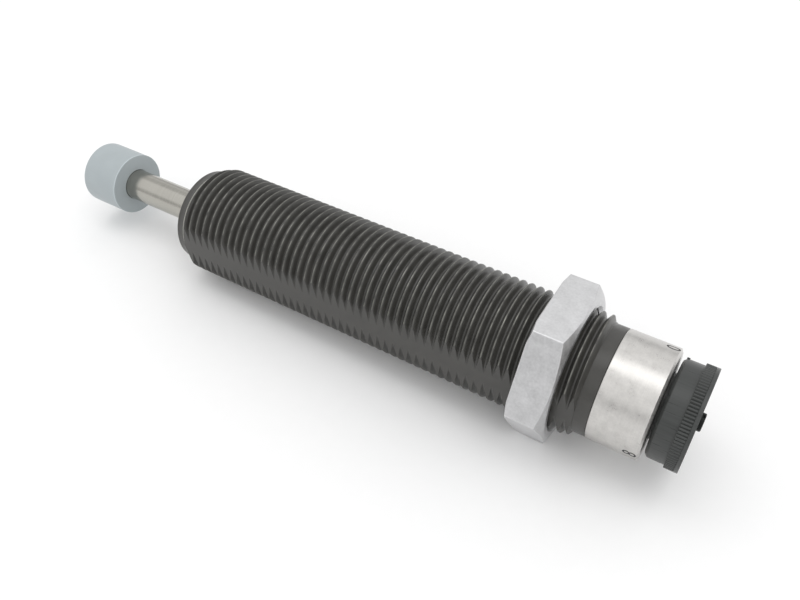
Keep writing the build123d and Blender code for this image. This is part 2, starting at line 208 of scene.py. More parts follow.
class FinishColours(bpy.types.PropertyGroup):
    """The colour of each finish"""

    oxide: shade("Black oxide", "Steel barrel", "#3b3a37")
    # Made brighter, this colour also paints the highlight round the barrel's pilot edge
    wear_and_glint: shade("Worn edges", "Where the oxide is rubbed thin", "#84847e")
    zinc: shade("Zinc plate", "Lock nut", "#cbcbcc")
    ground: shade("Ground steel", "Piston rod", "#adaba4")
    plate: shade("Nickel plate", "Scale band", "#c8c6c3")
    nylon: shade("Nylon", "Impact button", "#a2aaad")
    acetal: shade("Acetal", "Adjusting knob", "#373938")
    ink: shade("Filled engraving", "Digits of the scale", "#1c1c1e")
    screw: shade("Blackened screw", "Knob screw", "#2c2e2d")
    bare: shade("Bare steel", "Tube, base, piston, stem and needle", "#a3a5a6")
    sprung: shade("Spring steel", "Return spring, retaining ring and clip", "#8b8d8f")
    bronze: shade("Bronze", "Rod bearing and piston ring", "#a67c45")
    rubber: shade("Nitrile rubber", "Wiper, seal and O-rings", "#1b1b1c")
    foam: shade("Foam", "Accumulator", "#3b3d40")
    floor: shade("Floor", "Card that the part stands on", "#f3f3f3")


# Meshes


def tidy(mesh, sharp=35):
    """Close seams and poles, turn faces outwards and smooth all but the sharp edges."""
    work = bmesh.new()
    work.from_mesh(mesh)
    bmesh.ops.remove_doubles(work, verts=work.verts, dist=MERGE)
    bmesh.ops.dissolve_degenerate(work, edges=work.edges, dist=NO_LENGTH)
    bmesh.ops.recalc_face_normals(work, faces=work.faces)
    work.to_mesh(mesh)
    work.free()
    mesh.shade_smooth()
    mesh.set_sharp_from_angle(angle=radians(sharp))
    return mesh


def outline(corners, count):
    """Rows of x and radius along a half outline. A corner is (x, radius, cut): its edges are cut back by cut
    and joined by a curve. Each number may be one value for every angle."""
    path = np.array([[np.broadcast_to(c[0], count), np.broadcast_to(c[1], count)] for c in corners])
    rows = []
    for i, corner in enumerate(corners):
        cut = corner[2] if len(corner) > 2 else 0
        here = path[i]
        if not cut:
            rows.append(here)
            continue
        sides = []
        for other in (path[i - 1], path[(i + 1) % len(path)]):
            span = np.maximum(np.hypot(*(other - here)), NO_LENGTH)
            sides.append(((other - here) / span, span / 2))
        (back, back_room), (ahead, ahead_room) = sides
        rows.append(here + back * np.minimum(2 * cut, back_room))
        for t in np.linspace(0, 1, CORNER_STEPS + 1):
            start = here + back * np.minimum(cut, back_room)
            end = here + ahead * np.minimum(cut, ahead_room)
            rows.append((1 - t) ** 2 * start + 2 * t * (1 - t) * here + t**2 * end)
        rows.append(here + ahead * np.minimum(2 * cut, ahead_room))
    return np.array(rows)


def turned(name, corners, angles=ROUND, closed=True):
    """A mesh turned about the axis from a half outline, in so many even steps or at the given angles."""
    if isinstance(angles, int):
        angles = np.linspace(0, 2 * pi, angles, endpoint=False)
    count = len(angles)
    rows = outline(corners, count)
    x, radius = rows[:, 0], rows[:, 1]
    points = np.stack([x, -radius * np.cos(angles), radius * np.sin(angles)], axis=-1)
    steps = len(rows) if closed else len(rows) - 1
    faces = []
    for i in range(steps):
        this, following = i * count, (i + 1) % len(rows) * count
        for a in range(count):
            b = (a + 1) % count
            faces.append((this + a, this + b, following + b, following + a))
    mesh = bpy.data.meshes.new(name)
    mesh.from_pydata(points.reshape(-1, 3) * MM, [], faces)
    return mesh


def joined(*meshes):
    """Put the geometry of several meshes into the first."""
    first, *others = meshes
    work = bmesh.new()
    for mesh in meshes:
        work.from_mesh(mesh)
    work.to_mesh(first)
    work.free()
    for mesh in others:
        bpy.data.meshes.remove(mesh)
    return first


def put(name, data):
    """A new object in the scene."""
    thing = bpy.data.objects.new(name, data)
    bpy.context.scene.collection.objects.link(thing)
    return thing


def evaluated(mesh, kind, **settings):
    """The mesh with one modifier applied."""
    carrier = put(mesh.name, mesh)
    modifier = carrier.modifiers.new("shape", kind)
    for name, value in settings.items():
        if name in modifier.bl_rna.properties:
            setattr(modifier, name, value)
        else:
            modifier[name] = value
    shaped = carrier.evaluated_get(bpy.context.evaluated_depsgraph_get())
    result = bpy.data.meshes.new_from_object(shaped)
    carrier.modifiers.remove(modifier)
    bpy.data.objects.remove(carrier)
    return result


def block(low, high):
    """A box between two corners given in millimetres."""
    work = bmesh.new()
    bmesh.ops.create_cube(work, size=1)
    low, high = Vector(low) * MM, Vector(high) * MM
    middle, size = (low + high) / 2, high - low
    for vertex in work.verts:
        vertex.co = middle + vertex.co * size
    mesh = bpy.data.meshes.new("block")
    work.to_mesh(mesh)
    work.free()
    return mesh


def place(name, mesh, material, body, slot, *nodes):
    """Show a finished mesh as a piece that rides on a body and stands for nodes of the frame."""
    mesh.materials.clear()
    mesh.materials.append(material)
    piece = put(name, mesh)
    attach(piece, body)
    if nodes:
        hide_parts(*nodes)
    return piece


def place_turned(name, corners, material, body, slot, node, angles=ROUND):
    """Turn a half outline and show it as a piece."""
    return place(name, tidy(turned(name, corners, angles)), material, body, slot, node)


def geometry_tree(name, inputs):
    """A new Geometry Nodes tree with named inputs, and its input sockets by name."""
    kinds = {int: "NodeSocketInt", float: "NodeSocketFloat", str: "NodeSocketString"}
    tree = bpy.data.node_groups.new(name, "GeometryNodeTree")
    tree.interface.new_socket("Geometry", in_out="OUTPUT", socket_type="NodeSocketGeometry")
    for label, value in inputs.items():
        kind = kinds.get(type(value), "NodeSocketMaterial")
        tree.interface.new_socket(label, in_out="INPUT", socket_type=kind)
    return tree, add(tree, "NodeGroupInput").outputs


def wrapped(tree, x, angle, radius):
    """The point at a place along the axis, an angle round it and a distance from it."""
    cosine = add(tree, MATH, [angle], "COSINE")
    y = add(tree, MATH, [cosine, radius], "MULTIPLY")
    y = add(tree, MATH, [y, -1.0], "MULTIPLY")
    sine = add(tree, MATH, [angle], "SINE")
    z = add(tree, MATH, [sine, radius], "MULTIPLY")
    return add(tree, COMBINE, {"X": x, "Y": y, "Z": z})


def end_tree(tree, result):
    """End a tree in real geometry with its material."""
    sockets = tree.nodes["Group Input"].outputs
    real = add(tree, "GeometryNodeRealizeInstances", [result])
    painted = add(tree, "GeometryNodeSetMaterial", {0: real, "Material": sockets["Material"]})
    add(tree, "NodeGroupOutput", [painted])


def grown(tree, inputs):
    """Run a tree with these inputs and return a plain mesh."""
    sockets = [item for item in tree.interface.items_tree if item.in_out == "INPUT"]
    values = {item.identifier: inputs[item.name] for item in sockets}
    return evaluated(bpy.data.meshes.new(tree.name), "NODES", node_group=tree, **values)


# Materials


def begin(name, roughness, metallic=0.0):
    """A new material; returns it with its tree, its Object coordinates and its shader."""
    material = bpy.data.materials.new(name)
    material.use_nodes = True
    tree = material.node_tree
    tree.nodes.clear()
    shader = add(tree, "ShaderNodeBsdfPrincipled", {"Roughness": roughness, "Metallic": metallic})
    add(tree, "ShaderNodeOutputMaterial", {"Surface": shader})
    return material, tree, add(tree, "ShaderNodeTexCoord").outputs["Object"], shader


def grain(tree, spot, size, stretch=(1, 1, 1), detail=3.0):
    """A cloudy pattern with features of a size in millimetres, drawn out that many times along each axis."""
    scale = [1 / (size * MM * s) for s in stretch]
    drawn = add(tree, "ShaderNodeMapping", {"Vector": spot, "Scale": scale})
    return add(tree, "ShaderNodeTexNoise", {"Vector": drawn, "Scale": 1.0, "Detail": detail}).outputs["Fac"]


def surface(tree, shader, pattern, colour, spread, rough, height, depth):
    """Finish a surface: a pattern varies the colour by a share and the roughness between two values, and a
    height pattern raises it by so many millimetres."""
    colour = getattr(bpy.context.scene.shock_colours, colour)
    low, high = tone(colour, 1 - spread), tone(colour, 1 + spread)
    even = add(tree, RANGE, {"Value": pattern, "From Min": NOISE_LOW, "From Max": NOISE_HIGH})
    mixed = add(tree, MIX, {0: even, 6: low, 7: high}, data_type="RGBA").outputs[2]
    sheen = add(tree, RANGE, {"Value": even, "To Min": rough[0], "To Max": rough[1]}).outputs[0]
    bump = add(tree, "ShaderNodeBump", {"Height": height, "Distance": depth * MM}).outputs[0]
    for socket, source in (("Base Color", mixed), ("Roughness", sheen), ("Normal", bump)):
        tree.links.new(source, shader.inputs[socket])
    return mixed


def black_oxide():
    """Turned steel, hot blackened and lightly oiled: a deep warm grey satin, rubbed bright in a thin line
    along the thread's crests.
    A thin ring round the pilot's edge is painted brighter still: a painted highlight that is partly wear."""
    scene = bpy.context.scene
    # Depths below the crest where the wear fades in, half width of the pilot's ring, and how much brighter
    # than the wear its painted highlight is
    crest_low, crest_high, glint_ring_half, edge_glint = 0.06, 0.01, 0.1, 2.4
    material, tree, spot, shader = begin("black_oxide_turned_steel", 0.35)
    across = add(tree, VECTOR_MATH, [spot, (0, 1, 1)], "MULTIPLY")
    radius = add(tree, VECTOR_MATH, [across], "LENGTH").outputs["Value"]
    low, high = (THREAD_RADIUS - crest_low) * MM, (THREAD_RADIUS - crest_high) * MM
    crest = add(tree, RANGE, {"Value": radius, "From Min": low, "From Max": high})
    rubbed = add(tree, RANGE, {"Value": grain(tree, spot, 1.4), "From Min": 0.35, "From Max": NOISE_HIGH})
    # A thin ring round the pilot's edge: a painted highlight, partly wear
    edge = [add(tree, SPLIT, [spot]).outputs["X"], scene.shock_thread.pilot_length, glint_ring_half * MM]
    edge = add(tree, MATH, edge, "COMPARE")
    wear_and_glint = add(tree, MATH, [crest, rubbed], "MULTIPLY")
    wear_and_glint = add(tree, MATH, [wear_and_glint, edge], "MAXIMUM")
    lathe = grain(tree, spot, 0.08, (1, 30, 30))
    mixed = surface(tree, shader, grain(tree, spot, 2.2), "oxide", 0.15, (0.28, 0.42), lathe, 0.003)
    # The crest wear goes into the colour first, then the pilot ring's brighter painted highlight
    for where, share in ((wear_and_glint, 1), (edge, edge_glint)):
        layers = {0: where, 6: mixed, 7: tone(scene.shock_colours.wear_and_glint, share)}
        mixed = add(tree, MIX, layers, data_type="RGBA").outputs[2]
    tree.links.new(mixed, shader.inputs["Base Color"])
    tree.links.new(wear_and_glint.outputs[0], shader.inputs["Metallic"])
    return material


def bright_zinc():
    """Cold-forged steel with bright zinc plating: a pale satin with soft mottling and small dents."""
    material, tree, spot, shader = begin("zinc_plated_steel", 0.35, 1.0)
    cloud, speck = grain(tree, spot, 1.6), grain(tree, spot, 0.35)
    both = add(tree, MIX, {0: 0.5, 2: cloud, 3: speck}).outputs[0]
    surface(tree, shader, both, "zinc", 0.12, (0.28, 0.46), speck, 0.006)
    return material


def ground_steel():
    """Hardened steel, centreless ground and polished: bright and warm, with faint rings round the rod."""
    material, tree, spot, shader = begin("ground_polished_steel", 0.2, 1.0)
    rings = grain(tree, spot, 0.12, (1, 60, 60))
    surface(tree, shader, rings, "ground", 0.05, (0.14, 0.26), rings, 0.001)
    return material


def turned_plate():
    """Turned steel with a thin nickel plate: silver satin, finely ringed and faintly mottled."""
    material, tree, spot, shader = begin("turned_plated_steel", 0.3, 1.0)
    rings = grain(tree, spot, 0.09, (1, 80, 80))
    cloud, marks = grain(tree, spot, 1.3), grain(tree, spot, 0.3, detail=4.0)
    both = add(tree, MIX, {0: 0.4, 2: marks, 3: rings}).outputs[0]
    both = add(tree, MIX, {0: 0.5, 2: both, 3: cloud}).outputs[0]
    surface(tree, shader, both, "plate", 0.14, (0.24, 0.4), rings, 0.0015)
    return material


def grey_nylon():
    """Moulded nylon, filled and dyed a pale blue-grey: satin, with the mould's faint texture, and a paler
    ring along its rear edge that is a painted highlight."""
    # Where the painted highlight lies in front of the rear edge, its half width, and how much lighter it is
    inset, half_width, highlight_lift = 0.15, 0.08, 1.35
    material, tree, spot, shader = begin("moulded_grey_nylon", 0.45)
    shader.inputs["IOR"].default_value = 1.53
    skin = grain(tree, spot, 0.15)
    base = surface(tree, shader, grain(tree, spot, 3.0), "nylon", 0.035, (0.4, 0.52), skin, 0.002)
    # A thin ring near the rear edge, painted paler: a painted highlight
    edge = [add(tree, SPLIT, [spot]).outputs["X"], (BUTTON_REAR - inset) * MM, half_width * MM]
    pale = add(tree, MATH, edge, "COMPARE")
    # The colour of the painted highlight, lighter than the nylon
    rubbed = tone(bpy.context.scene.shock_colours.nylon, highlight_lift)
    mixed = add(tree, MIX, {0: pale, 6: base, 7: rubbed}, data_type="RGBA").outputs[2]
    tree.links.new(mixed, shader.inputs["Base Color"])
    return material


def black_acetal():
    """Moulded black acetal: smooth satin with faint streaks along the axis, left by the tool's polishing."""
    material, tree, spot, shader = begin("moulded_black_acetal", 0.35)
    shader.inputs["IOR"].default_value = 1.48
    streaks = grain(tree, spot, 0.22, (30, 1, 1))
    surface(tree, shader, streaks, "acetal", 0.18, (0.26, 0.5), streaks, 0.004)
    return material


# Finishes with one fine pattern: colour, the share that it varies by, roughness, metallic, size in
# millimetres, how far it is drawn out along each axis, and depth in millimetres
PLAIN = {
    # Engraved figures filled with dark enamel: matt, a little uneven
    "filled_engraving": ("ink", 0.2, (0.5, 0.65), 0.0, 0.12, (1, 1, 1), 0.002),
    # A small turned steel screw, chemically blackened: dark satin with fine rings
    "blackened_screw_steel": ("screw", 0.15, (0.35, 0.5), 1.0, 0.06, (1, 20, 20), 0.001),
    # Machined steel, left bare under oil: bright, with a lathe's fine rings
    "machined_bare_steel": ("bare", 0.06, (0.22, 0.36), 1.0, 0.08, (1, 60, 60), 0.001),
    # Hardened and tempered spring steel: dull grey with a slight sheen
    "tempered_spring_steel": ("sprung", 0.08, (0.32, 0.46), 1.0, 0.2, (1, 1, 1), 0.001),
    # Turned tin bronze: warm yellow-brown metal, satin from the lathe
    "turned_bronze": ("bronze", 0.08, (0.28, 0.42), 1.0, 0.08, (1, 60, 60), 0.001),
    # Moulded nitrile rubber: near black and matt, faintly dusty
    "moulded_nitrile_rubber": ("rubber", 0.15, (0.55, 0.75), 0.0, 0.25, (1, 1, 1), 0.002),
    # Closed-cell nitrile foam: dark and matt, pitted with fine cells
    "closed_cell_foam": ("foam", 0.25, (0.75, 0.9), 0.0, 0.18, (1, 1, 1), 0.05),
    # White card, faintly uneven and matt
    "white_card": ("floor", 0.004, (0.6, 0.7), 0.0, 2.0, (1, 1, 1), 0.001),
}


def plain(name):
    """A finish from the table of those with one fine pattern."""
    colour, spread, rough, metallic, size, stretch, depth = PLAIN[name]
    material, tree, spot, shader = begin(name, sum(rough) / 2, metallic)
    pattern = grain(tree, spot, size, stretch)
    surface(tree, shader, pattern, colour, spread, rough, pattern, depth)
    return material


# The barrel


def plain_barrel_parts(sizes):
    """The barrel's plain surfaces: neck, rear face, bore with its ring groove, front face and pilot."""
    neck, bore, pilot = sizes.neck / MM, sizes.bore / MM, sizes.pilot / MM
    neck_front = BARREL_END - sizes.neck_length / MM
    groove_start, groove_end = extent("front_retaining_ring")[:2]
    groove_depth, play, chamfer = 0.5, 0.01, 0.2
    groove = bore + groove_depth
    return turned(
        "barrel_surfaces",
        [
            (neck_front, neck),
            (BARREL_END, neck, 0.15),
            (BARREL_END, bore, 0.1),
            (groove_end + play, bore),
            (groove_end + play, groove),
            (groove_start - play, groove),
            (groove_start - play, bore),
            (BARREL_START, bore, 0.1),
            (BARREL_START, pilot - chamfer, 0.05),
            (BARREL_START + chamfer, pilot, 0.05),
            (sizes.pilot_length / MM, pilot),
        ],
        sizes.segments,
        closed=False,
    )


def thread_surface(sizes, material):
    """The thread as a grid whose rows follow the helix, so that each crest is one clean line."""
    start, end = sizes.pilot_length, BARREL_END * MM - sizes.neck_length
    inputs = {
        "Pitch": sizes.pitch,
        "Outside": THREAD_RADIUS * MM,
        "Root": sizes.root,
        "Rounding": sizes.rounding,
        "Run-out": sizes.run_out,
        "Front": sizes.pilot,
        "Back": sizes.neck,
        "Start": start,
        "End": end,
        "First crest": sizes.first_crest,
        "Turns": ceil((end - start) / sizes.pitch) + 1,
        "Steps": sizes.steps,
        "Segments": sizes.segments,
        "Material": material,
    }
    tree, given = geometry_tree("thread_surface", inputs)
    rows = add(tree, MATH, [given["Turns"], given["Steps"], 1.0], "MULTIPLY_ADD")
    columns = add(tree, MATH, [given["Segments"], 1.0], "ADD")
    grid = add(tree, "GeometryNodeMeshGrid", {"Vertices X": rows, "Vertices Y": columns})
    spot = add(tree, SPLIT, [add(tree, POSITION)]).outputs
    along = add(tree, MATH, [spot["X"], 0.5], "ADD")
    around = add(tree, MATH, [spot["Y"], 0.5], "ADD")

    # Turns of thread passed since the first crest; rows crowd together at crests and roots
    crowding, wave_rate = 0.6, 4 * pi
    turns = add(tree, MATH, [along, given["Turns"]], "MULTIPLY")
    offset = add(tree, MATH, [given["Start"], given["First crest"]], "SUBTRACT")
    offset = add(tree, MATH, [offset, given["Pitch"]], "DIVIDE")
    phase = add(tree, MATH, [turns, offset], "ADD")
    wave = add(tree, MATH, [phase, wave_rate], "MULTIPLY")
    wave = add(tree, MATH, [wave], "SINE")
    phase = add(tree, MATH, [wave, -crowding / wave_rate, phase], "MULTIPLY_ADD")

    # A row lies along the helix, and is cut off at both ends of the thread
    row = add(tree, MATH, [phase, around], "SUBTRACT")
    x = add(tree, MATH, [row, given["Pitch"], given["First crest"]], "MULTIPLY_ADD")
    x = add(tree, "ShaderNodeClamp", {"Value": x, "Min": given["Start"], "Max": given["End"]})

    # Distance along the axis from the nearest crest
    phase = add(tree, MATH, [x, given["First crest"]], "SUBTRACT")
    phase = add(tree, MATH, [around, given["Pitch"], phase], "MULTIPLY_ADD")
    past = add(tree, MATH, [phase, given["Pitch"]], "FLOORED_MODULO")
    ahead = add(tree, MATH, [given["Pitch"], past], "SUBTRACT")
    away = add(tree, MATH, [past, ahead], "MINIMUM")

    # The sharp 60 degree form, with its crest and root cut flat, rounded, and tapered off at both ends
    slope, crest_share = 1 / tan(radians(30)), 1 / 16
    crest_half = add(tree, MATH, [given["Pitch"], crest_share], "MULTIPLY")
    fall = add(tree, MATH, [away, crest_half], "SUBTRACT")
    fall = add(tree, MATH, [fall, slope], "MULTIPLY")
    form = add(tree, MATH, [given["Outside"], fall], "SUBTRACT")
    form = add(tree, MATH, [form, given["Outside"], given["Rounding"]], "SMOOTH_MIN")
    form = add(tree, MATH, [form, given["Root"], given["Rounding"]], "SMOOTH_MAX")
    for edge, rim, rise in (("Start", "Front", 1), ("End", "Back", -slope)):
        inward = add(tree, MATH, [x, given[edge]], "SUBTRACT")
        cone = add(tree, MATH, [inward, rise, given[rim]], "MULTIPLY_ADD")
        form = add(tree, MATH, [form, cone, given["Run-out"]], "SMOOTH_MIN")

    angle = add(tree, MATH, [around, 2 * pi], "MULTIPLY")
    spot = wrapped(tree, x, angle, form)
    end_tree(tree, add(tree, SET_POSITION, {"Geometry": grid, "Position": spot}))
    return grown(tree, inputs)


def mill_flats(mesh):
    """Cut the two spanner flats and close them with plane faces that keep a sharp edge."""
    work = bmesh.new()
    work.from_mesh(mesh)
    for side in (-1, 1):
        geom = work.verts[:] + work.edges[:] + work.faces[:]
        normal = Vector((0, side, 0))
        plane = {"plane_co": normal * FLAT_OFFSET * MM, "plane_no": normal}
        bmesh.ops.bisect_plane(work, geom=geom, dist=NO_LENGTH, clear_outer=True, **plane)
        rim = [edge for edge in work.edges if edge.is_boundary]
        filled = bmesh.ops.holes_fill(work, edges=rim, sides=0)["faces"]
        for face in filled:
            face.smooth = False
            for edge in face.edges:
                edge.smooth = False
    bmesh.ops.recalc_face_normals(work, faces=work.faces)
    work.to_mesh(mesh)
    work.free()


class SHOCK_OT_barrel(bpy.types.Operator):
    """Cut the thread and the spanner flats on the barrel"""

    bl_idname = "shock.barrel"
    bl_label = "Barrel"

    def execute(self, context):
        sizes = context.scene.shock_thread
        finish = black_oxide()
        mesh = joined(thread_surface(sizes, finish), plain_barrel_parts(sizes))
        tidy(mesh, sharp=50)
        mill_flats(mesh)
        place("threaded_barrel", mesh, finish, "housing", "black_oxide_steel", "barrel")
        return {"FINISHED"}


class SHOCK_OT_lock_nut(bpy.types.Operator):
    """Shape the hexagon nut with its chamfers and softened edges"""

    bl_idname = "shock.lock_nut"
    bl_label = "Lock nut"

    def execute(self, context):
        rounding = 0.3  # of the hexagon's corners
        steps = 22  # along half a flat, closer together towards the corners
        front_circle, rear_circle = NUT_HALF + 0.8, NUT_HALF - 0.6
        slope = tan(radians(20))
        bore, countersink = THREAD_RADIUS + 0.05, 0.5
        least_edge, softened, lip = 0.12, 0.08, 0.05

        share = np.linspace(-1, 1, 2 * steps, endpoint=False)
        from_normal = np.sign(share) * (1 - (1 - abs(share)) ** 3) * pi / 6
        centre = (NUT_HALF - rounding) / cos(pi / 6)
        to_corner = pi / 6 - abs(from_normal)
        on_flat = NUT_HALF * np.tan(abs(from_normal)) <= centre * sin(pi / 6)
        under_root = np.maximum(rounding**2 - (centre * np.sin(to_corner)) ** 2, 0)
        flat, corner = NUT_HALF / np.cos(from_normal), centre * np.cos(to_corner) + np.sqrt(under_root)
        hexagon = np.tile(np.where(on_flat, flat, corner), 6)
        angles = np.concatenate([from_normal + pi / 3 * k + pi / 2 for k in range(6)])

        front = np.minimum(front_circle, hexagon - least_edge)
        rear = np.minimum(rear_circle, hexagon - least_edge)
        corners = [
            (NUT_FRONT + countersink, bore, lip),
            (NUT_FRONT, bore + countersink, lip),
            (NUT_FRONT, front, softened),
            (NUT_FRONT + (hexagon - front) * slope + lip, hexagon, softened),
            (NUT_REAR - (hexagon - rear) * slope - lip, hexagon, softened),
            (NUT_REAR, rear, softened),
            (NUT_REAR, bore + countersink, lip),
            (NUT_REAR - countersink, bore, lip),
        ]
        place_turned("plated_nut", corners, bright_zinc(), "nut", "zinc_plated_steel", "lock_nut", angles)
        return {"FINISHED"}


class SHOCK_OT_rod_and_button(bpy.types.Operator):
    """Turn the ground rod and mould the impact button on its end"""

    bl_idname = "shock.rod_and_button"
    bl_label = "Rod and impact button"

    def execute(self, context):
        play, spigot = 0.02, 1.5
        hole = ROD_RADIUS + play
        button = [
            (BUTTON_FRONT, 0),
            (BUTTON_FRONT, BUTTON_RADIUS, 0.5),
            (BUTTON_REAR, BUTTON_RADIUS, 0.15),
            (BUTTON_REAR, hole, 0.1),
            (ROD_FRONT - play, hole),
            (ROD_FRONT - play, 0),
        ]
        place_turned("moulded_button", button, grey_nylon(), "rod", "grey_nylon", "impact_button")
        rod = [
            (ROD_FRONT, 0),
            (ROD_FRONT, ROD_RADIUS, 0.3),
            (HEAD_FRONT, ROD_RADIUS, 0.05),
            (HEAD_FRONT, spigot),
            (ROD_TIP, spigot, 0.3),
            (ROD_TIP, 0),
        ]
        place_turned("ground_rod", rod, ground_steel(), "rod", "ground_steel", "piston_rod")
        return {"FINISHED"}


def digit_tree(inputs):
    """Lay one digit on the band: its outline is filled, split finely, wrapped round and given a thickness."""
    tree, given = geometry_tree("band_digit", inputs)
    words = {"String": given["Digit"], "Size": given["Text size"]}
    drawn = add(tree, "GeometryNodeStringToCurves", words, align_x="CENTER")
    filled = add(tree, "GeometryNodeFillCurve", {"Curve": drawn.outputs["Curve Instances"]})
    real = add(tree, "GeometryNodeRealizeInstances", [filled])
    fine = add(tree, "GeometryNodeSubdivideMesh", {"Mesh": real, "Level": 2})
    spot = add(tree, SPLIT, [add(tree, POSITION)]).outputs

    # The middle of the digit lies half its height above its baseline
    middle = add(tree, MATH, [given["Text size"], CAPITAL / 2], "MULTIPLY")
    up = add(tree, MATH, [spot["Y"], middle], "SUBTRACT")
    x = add(tree, MATH, [given["Middle"], up], "SUBTRACT")
    turn = add(tree, MATH, [spot["X"], given["Radius"]], "DIVIDE")
    turn = add(tree, MATH, [turn, given["Angle"]], "ADD")
    spot = wrapped(tree, x, turn, given["Radius"])
    laid = add(tree, SET_POSITION, {"Geometry": fine, "Position": spot})
    radial = add(tree, VECTOR_MATH, [add(tree, POSITION), (0.0, 1.0, 1.0)], "MULTIPLY")
    radial = add(tree, VECTOR_MATH, [radial], "NORMALIZE")
    lift = {"Mesh": laid, "Offset": radial, "Offset Scale": given["Thickness"], "Individual": False}
    top = add(tree, "GeometryNodeExtrudeMesh", lift)
    bottom = add(tree, "GeometryNodeFlipFaces", {"Mesh": laid})
    both = add(tree, "GeometryNodeJoinGeometry", [bottom])
    tree.links.new(top.outputs["Mesh"], both.inputs[0])
    closest = 1e-6
    end_tree(tree, add(tree, "GeometryNodeMergeByDistance", {"Geometry": both, "Distance": closest}))
    return tree


class SHOCK_OT_scale_band(bpy.types.Operator):
    """Turn the bright band and mark its setting scale"""

    bl_idname = "shock.scale_band"
    bl_label = "Scale band"

    def execute(self, context):
        knob, scale = context.scene.shock_knob, context.scene.shock_scale
        stem_bore, chamber, mouth = 2.53, 5.0, 6.8
        squeeze, clearance, recess_depth, groove_depth = 0.02, 0.3, 2.0, 1.1
        lip, chamfer, chamfer_height = 0.35, 0.35, 0.55
        mouth_end, chamber_end, groove_start, groove_end = (HOUSING_FRONT + x for x in (0.8, 4.6, 7.2, 8.8))
        recess, recess_floor = knob.hub / MM + clearance, BAND_END - recess_depth
        collar = extent("housing_oring")[2] + squeeze
        groove, lip_end = collar - groove_depth, BAND_END + lip
        band = [
            (HOUSING_FRONT, mouth),
            (HOUSING_FRONT, collar, 0.1),
            (groove_start, collar),
            (groove_start, groove),
            (groove_end, groove),
            (groove_end, collar),
            (BARREL_END, collar),
            (BARREL_END, BAND_RADIUS, 0.2),
            (lip_end - chamfer, BAND_RADIUS, 0.04),
            (lip_end, BAND_RADIUS - chamfer_height, 0.04),
            (lip_end, recess, 0.1),
            (recess_floor, recess),
            (recess_floor, stem_bore),
            (chamber_end, stem_bore),
            (chamber_end, chamber),
            (mouth_end, chamber),
            (mouth_end, mouth),
        ]
        slot = "nickel_plated_steel"
        place_turned("turned_band", band, turned_plate(), "housing", slot, "adjuster_housing")

        ink, proud, thickness = plain("filled_engraving"), 0.01, 0.03
        inputs = {
            "Digit": "0",
            "Text size": scale.height / CAPITAL,
            "Middle": BAND_END * MM - scale.setback,
            "Angle": scale.first,
            "Radius": (BAND_RADIUS + proud - thickness) * MM,
            "Thickness": thickness * MM,
            "Material": ink,
        }
        tree = digit_tree(inputs)
        marks = [
            grown(tree, inputs | {"Digit": digit, "Angle": scale.first + i * scale.step})
            for i, digit in enumerate(scale.digits)
        ]
        place("scale_digits", tidy(joined(*marks)), ink, "housing", "black_acetal")
        return {"FINISHED"}


def rim_teeth(sizes, material):
    """The straight knurl: one tooth with sloping sides, repeated round the rim."""
    root = RIM_RADIUS * MM - sizes.tooth_depth
    inputs = {
        "Teeth": sizes.teeth,
        "Root": root,
        "Depth": sizes.tooth_depth,
        "Top": sizes.tooth_top,
        "Base": 2 * pi * root / sizes.teeth,
        "Start": KNOB_END * MM - sizes.rim_length,
        "End": KNOB_END * MM - sizes.rim_length + sizes.tooth_length,
        "Material": material,
    }
    tree, given = geometry_tree("rim_teeth", inputs)
    cube = add(tree, "GeometryNodeMeshCube", {"Vertices X": 4, "Vertices Y": 4, "Vertices Z": 3})
    spot = add(tree, SPLIT, [add(tree, POSITION)]).outputs
    rise = add(tree, MATH, [spot["Z"], 0.5], "ADD")

    # The tooth narrows towards its top, and its sides and ends are eased there to these shares
    crown_start, crown_side, crown_end = 0.16, 0.93, 0.94
    width = add(tree, RANGE, {"Value": rise, "To Min": given["Base"], "To Max": given["Top"]})
    y = add(tree, MATH, [spot["Y"], width], "MULTIPLY")
    crown = add(tree, MATH, [spot["Y"]], "ABSOLUTE")
    ease = {"Value": crown, "From Min": crown_start, "From Max": 0.5, "To Min": 1.0, "To Max": crown_side}
    crown = add(tree, RANGE, ease)
    z = add(tree, MATH, [rise, crown], "MULTIPLY")
    z = add(tree, MATH, [z, given["Depth"], given["Root"]], "MULTIPLY_ADD")
    eased = add(tree, RANGE, {"Value": rise, "From Min": 0.5, "To Min": 1.0, "To Max": crown_end})
    along = add(tree, MATH, [spot["X"], eased], "MULTIPLY")
    along = add(tree, MATH, [along, 0.5], "ADD")
    x = add(tree, RANGE, {"Value": along, "To Min": given["Start"], "To Max": given["End"]})
    shaped = add(tree, COMBINE, {"X": x, "Y": y, "Z": z})
    tooth = add(tree, SET_POSITION, {"Geometry": cube.outputs["Mesh"], "Position": shaped})

    # One instance for each tooth, turned about the axis
    index = add(tree, "GeometryNodeInputIndex")
    step = add(tree, MATH, [2 * pi, given["Teeth"]], "DIVIDE")
    angle = add(tree, MATH, [index, step], "MULTIPLY")
    points = add(tree, "GeometryNodePoints", {"Count": given["Teeth"], "Position": (0.0, 0.0, 0.0)})
    turn = add(tree, COMBINE, {"X": angle})
    repeat = {"Points": points, "Instance": tooth, "Rotation": turn}
    end_tree(tree, add(tree, "GeometryNodeInstanceOnPoints", repeat))
    return grown(tree, inputs)


